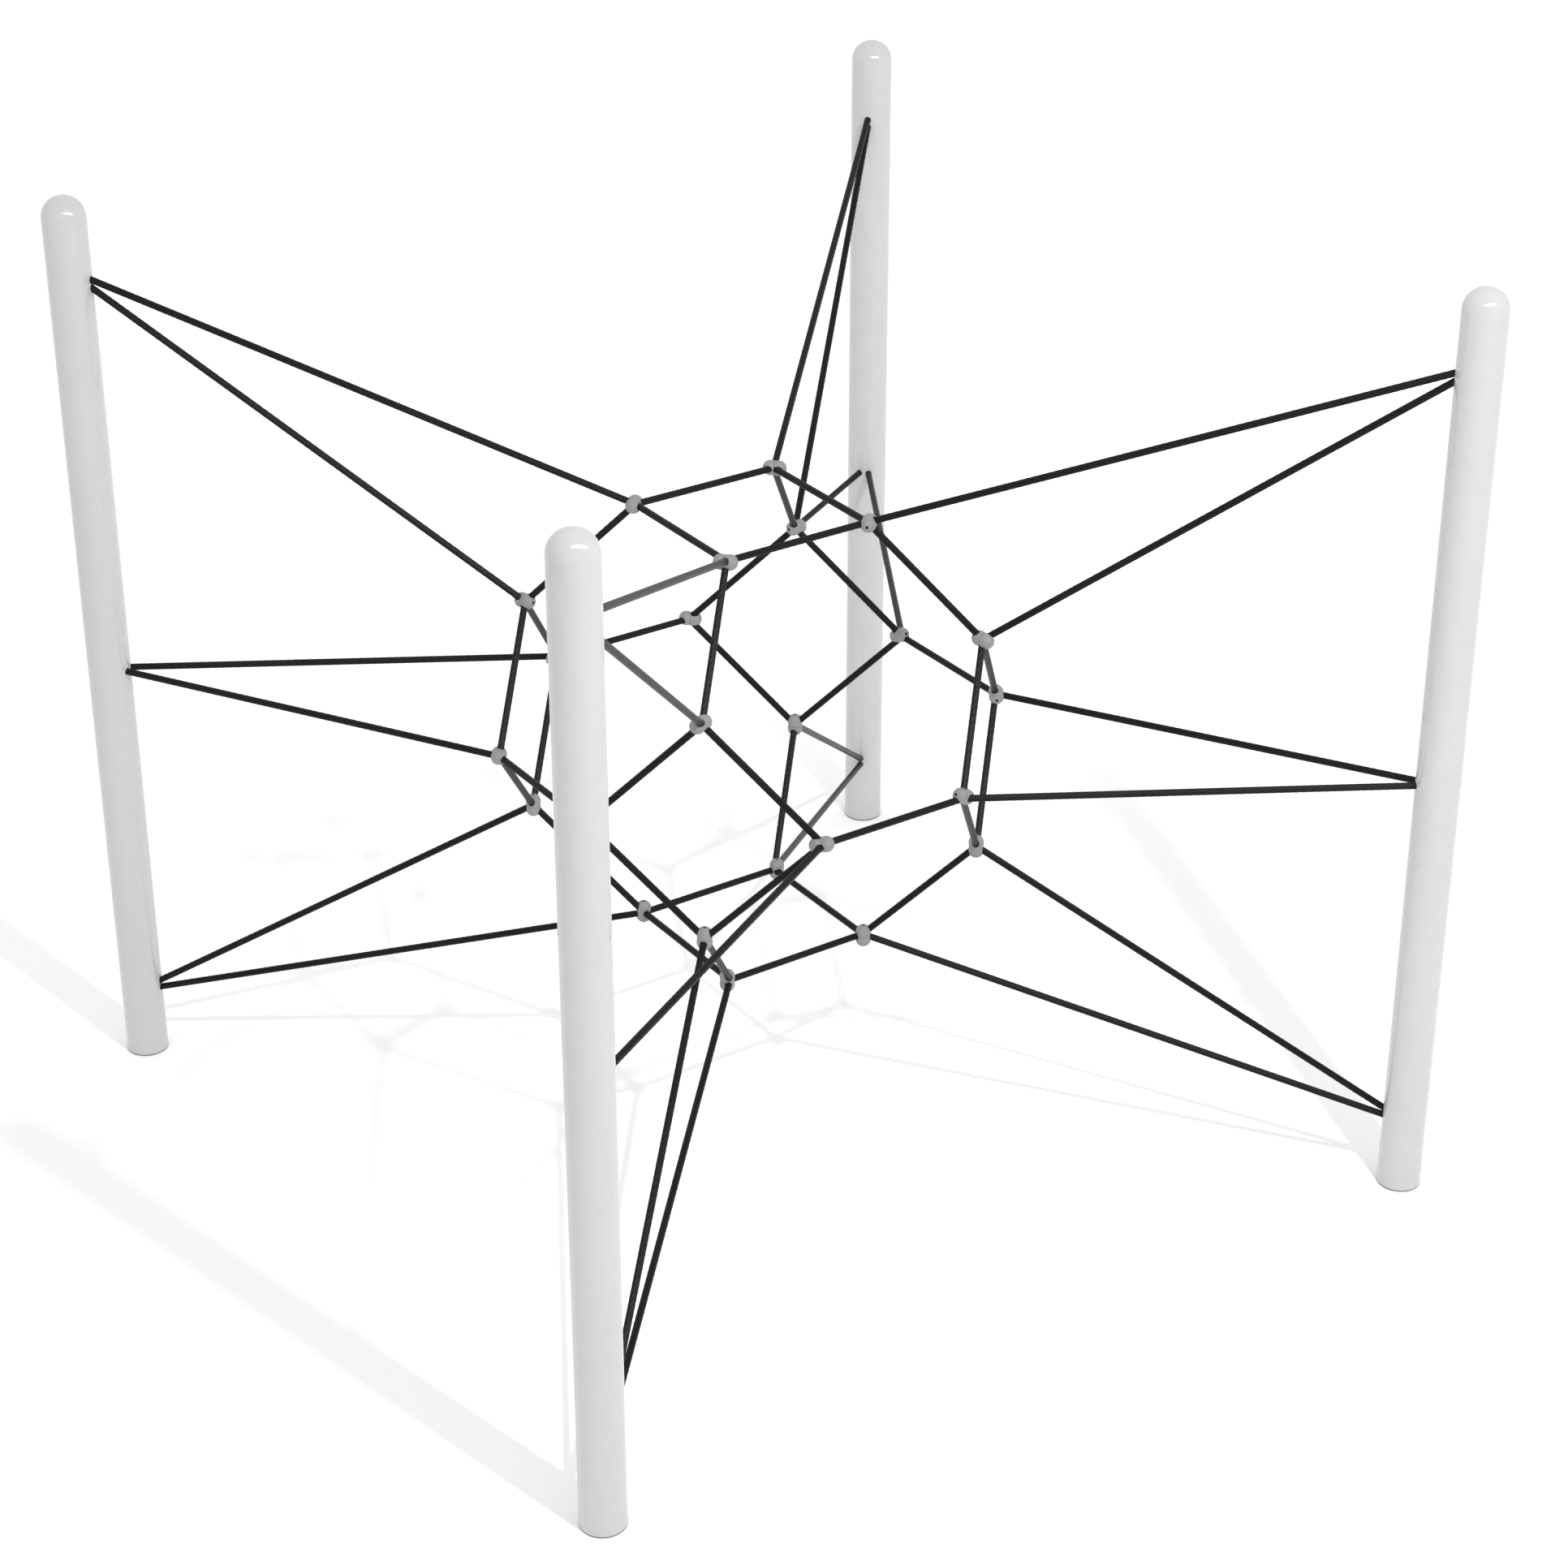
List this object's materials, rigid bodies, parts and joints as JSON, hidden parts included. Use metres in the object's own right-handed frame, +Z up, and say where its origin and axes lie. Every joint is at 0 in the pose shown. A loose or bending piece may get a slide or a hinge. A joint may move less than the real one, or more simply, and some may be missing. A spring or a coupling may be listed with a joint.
{
  "type": "rope net climber",
  "caption": "Playground climber: a rope net shaped as a truncated octahedron, stretched between four round domed posts by paired tether ropes.",
  "frame": {"origin": "on the ground midway between the four posts", "axes": "+Z up, +X towards the right-hand post and +Y towards the back post"},
  "size_m": [3.6144, 3.6144, 2.5],
  "materials": {
    "post_paint": "smooth white powder coat, glossy",
    "plain_steel": "galvanised",
    "stud_steel": "zinc plated",
    "rope": "black polyamide climbing rope, matte",
    "connector_shell": "mid-grey moulded plastic, fine grain",
    "screw_steel": "black oxide",
    "ferrule": "pressed"
  },
  "bodies": {
    "posts": {"back_lower_tethers": "rope", "back_middle_tethers": "rope", "back_post_anchor_blocks": "plain_steel", "back_post_dome": "post_paint", "back_post_foot_plate": "plain_steel", "back_post_tube": "post_paint", "back_upper_tethers": "rope", "front_lower_tethers": "rope", "front_middle_tethers": "rope", "front_post_anchor_blocks": "plain_steel", "front_post_dome": "post_paint", "front_post_foot_plate": "plain_steel", "front_post_tube": "post_paint", "front_upper_tethers": "rope", "left_lower_tethers": "rope", "left_middle_tethers": "rope", "left_post_anchor_blocks": "plain_steel", "left_post_dome": "post_paint", "left_post_foot_plate": "plain_steel", "left_post_tube": "post_paint", "left_upper_tethers": "rope", "lower_tether_studs": "stud_steel", "middle_tether_studs": "stud_steel", "right_lower_tethers": "rope", "right_middle_tethers": "rope", "right_post_anchor_blocks": "plain_steel", "right_post_dome": "post_paint", "right_post_foot_plate": "plain_steel", "right_post_tube": "post_paint", "right_upper_tethers": "rope", "upper_tether_studs": "stud_steel"},
    "net": {"bottom_connector_screw_halves": "connector_shell", "bottom_connector_screws": "screw_steel", "bottom_connector_thread_halves": "connector_shell", "bottom_square_ropes": "rope", "lower_connector_screw_halves": "connector_shell", "lower_connector_screws": "screw_steel", "lower_connector_thread_halves": "connector_shell", "lower_link_ropes": "rope", "middle_connector_screw_halves": "connector_shell", "middle_connector_screws": "screw_steel", "middle_connector_thread_halves": "connector_shell", "middle_link_ropes": "rope", "net_rope_ferrules": "ferrule", "side_square_lower_ropes": "rope", "side_square_upper_ropes": "rope", "tether_ferrules": "ferrule", "top_connector_screw_halves": "connector_shell", "top_connector_screws": "screw_steel", "top_connector_thread_halves": "connector_shell", "top_square_ropes": "rope", "upper_connector_screw_halves": "connector_shell", "upper_connector_screws": "screw_steel", "upper_connector_thread_halves": "connector_shell", "upper_link_ropes": "rope"}
  },
  "joints": [
    {"name": "net_bounce", "type": "slide", "parent": "posts", "child": "net", "axis": [0, 0, 1], "range_m": [-0.03, 0.03], "stiffness_N_per_m": 20000, "springref_m": 0.00283, "deforming": ["back_lower_tethers", "back_middle_tethers", "back_upper_tethers", "front_lower_tethers", "front_middle_tethers", "front_upper_tethers", "left_lower_tethers", "left_middle_tethers", "left_upper_tethers", "right_lower_tethers", "right_middle_tethers", "right_upper_tethers"]}
  ]
}
